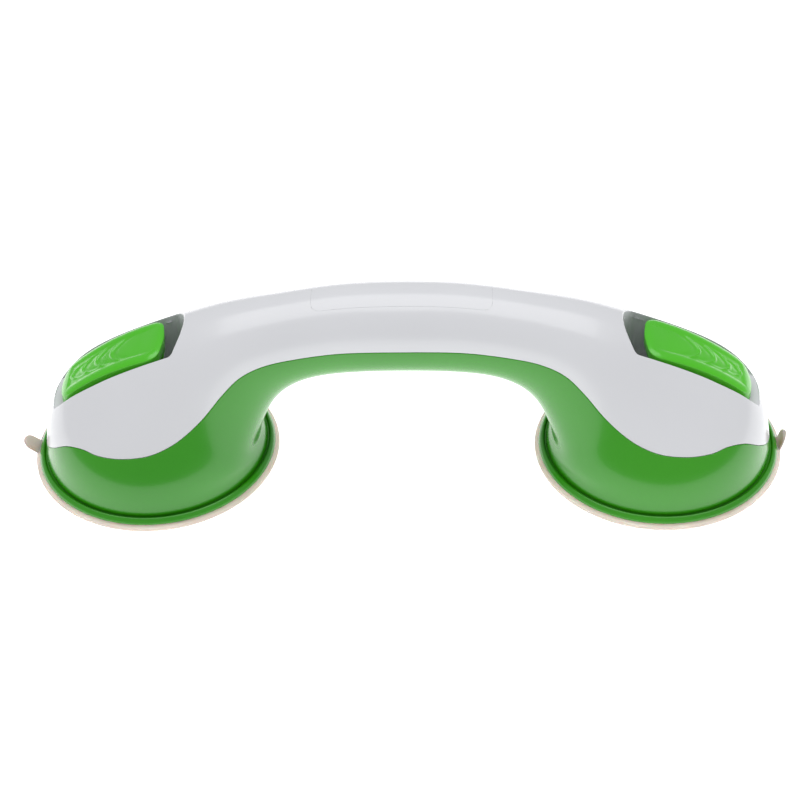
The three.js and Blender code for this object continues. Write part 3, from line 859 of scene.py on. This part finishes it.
# ---- materials ----
class Finish:
    """A node material in the making, around one principled shader."""

    def __init__(self, name):
        self.material = bpy.data.materials.new(name)
        self.material.use_nodes = True
        self.nodes = self.material.node_tree.nodes
        self.links = self.material.node_tree.links
        self.shader = self.nodes["Principled BSDF"]
        self.place = self.node("ShaderNodeTexCoord").outputs["Object"]

    def node(self, kind, **settings):
        made = self.nodes.new(kind)
        for key, value in settings.items():
            if key in made.inputs:
                made.inputs[key].default_value = value
            else:
                setattr(made, key, value)
        return made

    def noise(self, scale, detail=3, stretch=(1, 1, 1)):
        """Noise of the given scale per metre, stretched along the axes."""
        mapping = self.node("ShaderNodeMapping", Scale=stretch)
        made = self.node("ShaderNodeTexNoise", Scale=scale, Detail=detail)
        self.links.new(self.place, mapping.inputs["Vector"])
        self.links.new(mapping.outputs["Vector"], made.inputs["Vector"])
        return made.outputs["Fac"]

    def between(self, value, low, high):
        made = self.nodes.new("ShaderNodeMapRange")
        made.inputs["To Min"].default_value = low
        made.inputs["To Max"].default_value = high
        self.links.new(value, made.inputs["Value"])
        return made.outputs["Result"]

    def tints(self, share, first, second):
        """Colour that goes from first to second with share."""
        made = self.nodes.new("ShaderNodeValToRGB")
        low, high = made.color_ramp.elements
        low.color = (*first, 1)
        high.color = (*second, 1)
        low.position, high.position = 0.3, 0.7
        self.links.new(share, made.inputs["Fac"])
        return made.outputs["Color"]

    def bump(self, height, strength, distance):
        made = self.node("ShaderNodeBump", Strength=strength, Distance=distance)
        self.links.new(height, made.inputs["Height"])
        self.links.new(made.outputs["Normal"], self.shader.inputs["Normal"])

    def set(self, **values):
        for name, value in values.items():
            self.shader.inputs[name.replace("_", " ")].default_value = value

    def feed(self, name, value):
        self.links.new(value, self.shader.inputs[name])


def linear(red, green, blue):
    """Screen colour from 0 to 255 as linear light."""
    shares = [value / 255 for value in (red, green, blue)]
    return tuple(c / 12.92 if c <= 0.04045 else ((c + 0.055) / 1.055) ** 2.4 for c in shares)


def moulded_plastic(name, first, second, roughness, grain):
    """Glossy moulded plastic with slow tint changes, a faint grain, a painted highlight on its convex edges
    and painted shade in its creases and hollows.
    """
    finish = Finish(name)
    # Painted highlight and shade: pointiness lightens the tint on convex edges and darkens it in creases and
    # hollows.
    edges = finish.between(finish.node("ShaderNodeNewGeometry").outputs["Pointiness"], -1.5, 2.5)
    drift = finish.noise(14, 2)
    drift_and_painted_edge_light = finish.node("ShaderNodeMath", operation="ADD")
    finish.links.new(drift, drift_and_painted_edge_light.inputs[0])
    finish.links.new(finish.between(edges, -0.06, 0.06), drift_and_painted_edge_light.inputs[1])
    finish.feed("Base Color", finish.tints(drift_and_painted_edge_light.outputs[0], first, second))
    finish.feed("Roughness", finish.between(finish.noise(90, 4), roughness * 0.85, roughness * 1.2))
    finish.bump(finish.noise(2600, 3), grain, 0.00004)
    finish.set(IOR=1.5, Coat_Weight=0.25, Coat_Roughness=0.06)
    return finish.material


def soft_rubber(name):
    """Milky see-through rubber with a soft bloom."""
    finish = Finish(name)
    finish.feed("Base Color", finish.tints(finish.noise(40, 3), linear(200, 194, 184), linear(218, 213, 204)))
    finish.feed("Roughness", finish.between(finish.noise(260, 4), 0.24, 0.42))
    finish.bump(finish.noise(1500, 3), 0.15, 0.00006)
    finish.set(IOR=1.43, Transmission_Weight=0.35, Subsurface_Weight=0.35, Subsurface_Scale=0.004)
    return finish.material


def steel(name, first, second, roughness, grain_axes):
    """Brushed or plated steel: long fine scratches, uneven shine and a slight tint."""
    finish = Finish(name)
    scratches = finish.noise(900, 5, grain_axes)
    finish.feed("Base Color", finish.tints(finish.noise(120, 3), first, second))
    finish.feed("Roughness", finish.between(scratches, roughness * 0.7, roughness * 1.4))
    finish.bump(scratches, 0.2, 0.00003)
    finish.set(Metallic=1, Anisotropic=0.3)
    return finish.material


# These plastics all carry moulded_plastic's painted highlight on convex edges and painted shade in creases
# and hollows.
WHITE = moulded_plastic("White plastic", linear(208, 209, 213), linear(213, 214, 218), 0.24, 0.05)
GREEN = moulded_plastic("Green plastic", linear(44, 138, 8), linear(52, 148, 14), 0.24, 0.05)
LEVER_GREEN = moulded_plastic("Lever plastic", linear(66, 180, 16), linear(78, 192, 24), 0.28, 0.08)
RUBBER = soft_rubber("Clear rubber")
BRIGHT_STEEL = steel("Bright steel", linear(196, 198, 201), linear(214, 216, 218), 0.28, (0.08, 1, 1))
ZINC_STEEL = steel("Zinc steel", linear(170, 174, 178), linear(190, 192, 192), 0.38, (1, 1, 0.15))


# ---- the bar ----
def dressed(item, material, body, slot, *nodes):
    """Gives a piece its material and its body, and hides the CAD nodes that it stands for. The slot is not
    used.
    """
    item.data.materials.clear()
    item.data.materials.append(material)
    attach(item, body)
    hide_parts(*nodes)


def dress_node(name, material):
    """Gives a CAD node that is kept as it is its material."""
    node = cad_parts[name]
    node.data.materials.clear()
    node.data.materials.append(material)


dressed(upper_shell(), WHITE, "root", "white_plastic", "upper_shell")
dressed(top_inlay(), WHITE, "root", "white_plastic", "top_inlay")
dressed(lower_shell(), GREEN, "root", "green_plastic", "lower_shell")
for end, sign in (("left", -1), ("right", 1)):
    dressed(lever(end, sign), LEVER_GREEN, f"{end}_lever_unit", "lever_plastic", f"{end}_lever")
    dressed(suction_cup(end, sign), RUBBER, f"{end}_cup_unit", "clear_rubber", f"{end}_suction_cup")
    dress_node(f"{end}_lever_pin", BRIGHT_STEEL)
    dress_node(f"{end}_cam_plate", BRIGHT_STEEL)
    dress_node(f"{end}_puller_stud", ZINC_STEEL)
    for number in range(1, 5):
        dress_node(f"{end}_screw_{number}", ZINC_STEEL)


# ---- floor, light and camera ----
FLOOR_HALF = 4
FLOOR_GLOW = 0.9
WORLD_STRENGTH = 0.45
TOP_PANEL = {"place": (0, 0.1, 1.1), "aim": (0, 0, 0), "size": (1.4, 1.0), "power": 10}


def floor():
    data = bpy.data.meshes.new("Floor")
    half = FLOOR_HALF
    corners = [(-half, -half, 0), (half, -half, 0), (half, half, 0), (-half, half, 0)]
    data.from_pydata(corners, [], [(0, 1, 2, 3)])
    made = bpy.data.objects.new("Floor", data)
    bpy.context.scene.collection.objects.link(made)
    finish = Finish("Pale floor")
    finish.feed("Base Color", finish.tints(finish.noise(3, 2), (0.86, 0.86, 0.86), (0.88, 0.88, 0.88)))
    finish.feed("Roughness", finish.between(finish.noise(60, 3), 0.55, 0.7))
    finish.feed("Emission Color", finish.tints(finish.noise(3, 2), (1, 1, 1), (0.99, 0.99, 0.99)))
    finish.set(Emission_Strength=FLOOR_GLOW)
    made.data.materials.append(finish.material)


def panel(name, place, aim, size, power):
    """A soft rectangular light at place, facing aim."""
    data = bpy.data.lights.new(name, "AREA")
    data.shape = "RECTANGLE"
    data.size, data.size_y = size
    data.energy = power
    made = bpy.data.objects.new(name, data)
    made.location = place
    made.rotation_euler = (Vector(aim) - Vector(place)).to_track_quat("-Z", "Y").to_euler()
    bpy.context.scene.collection.objects.link(made)


def studio():
    world = bpy.data.worlds.new("Studio")
    world.use_nodes = True
    shade = world.node_tree.nodes["Background"]
    shade.inputs["Color"].default_value = (1, 1, 1, 1)
    shade.inputs["Strength"].default_value = WORLD_STRENGTH
    bpy.context.scene.world = world
    panel("Top", **TOP_PANEL)


CAMERA = {
    "lens": 91.48, "sensor": 36, "distance": 0.79451, "target": (-0.0020237, 0, 0.0245948),
    "elevation": 40.3386, "yaw": 2.7235, "roll": -2.021,
}


def camera():
    """The camera, from its distance, the point it faces, and its three angles in degrees."""
    elevation, yaw, roll = (math.radians(CAMERA[key]) for key in ("elevation", "yaw", "roll"))
    back = Vector((
        math.sin(yaw) * math.cos(elevation),
        -math.cos(yaw) * math.cos(elevation),
        math.sin(elevation),
    ))
    level = Vector((math.cos(yaw), math.sin(yaw), 0))
    upright = back.cross(level)
    right = math.cos(roll) * level + math.sin(roll) * upright
    up = math.cos(roll) * upright - math.sin(roll) * level
    turn = Matrix((right, up, back)).transposed().to_4x4()
    data = bpy.data.cameras.new("Camera")
    data.lens, data.sensor_width = CAMERA["lens"], CAMERA["sensor"]
    made = bpy.data.objects.new("Camera", data)
    made.matrix_world = Matrix.Translation(Vector(CAMERA["target"]) + CAMERA["distance"] * back) @ turn
    bpy.context.scene.collection.objects.link(made)
    bpy.context.scene.camera = made


floor()
studio()
camera()
bpy.context.scene.view_settings.view_transform = "Standard"
